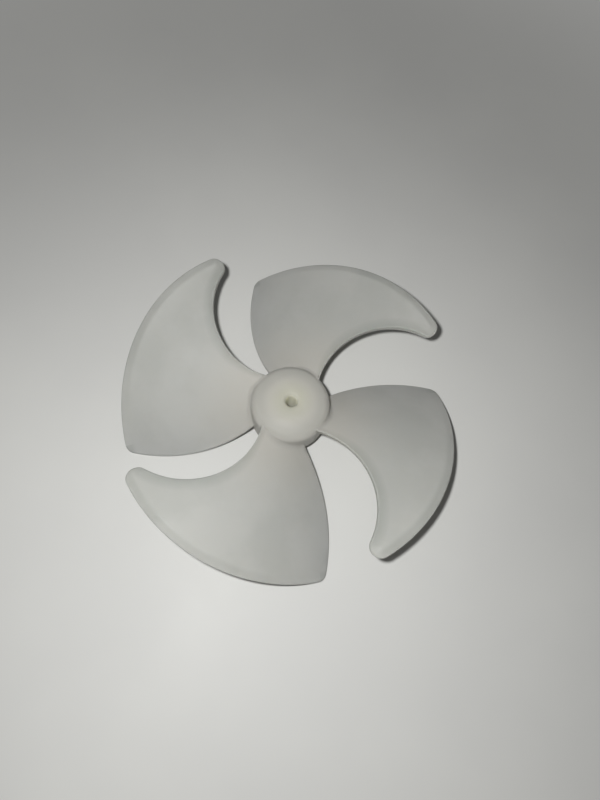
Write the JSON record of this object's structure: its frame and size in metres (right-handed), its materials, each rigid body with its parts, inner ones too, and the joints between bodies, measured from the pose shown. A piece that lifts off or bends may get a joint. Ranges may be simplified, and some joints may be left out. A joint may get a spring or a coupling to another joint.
{
  "type": "evaporator fan blade",
  "caption": "Axial fan wheel moulded in one piece: wide swept blades with round noses on a small domed hub, with a central bore that is pushed on a motor shaft.",
  "frame": {"origin": "on the shaft's axis, in the plane of the hub's open rear rim", "axes": "+Z along the shaft, out of the hub's domed front; +X through the middle of one blade's root"},
  "size_m": [0.1, 0.1, 0.0229],
  "materials": {
    "milky_plastic": "unpainted natural polypropylene, smooth as moulded, slightly translucent"
  },
  "bodies": {
    "root": {"fan_blade": "milky_plastic"}
  },
  "joints": []
}
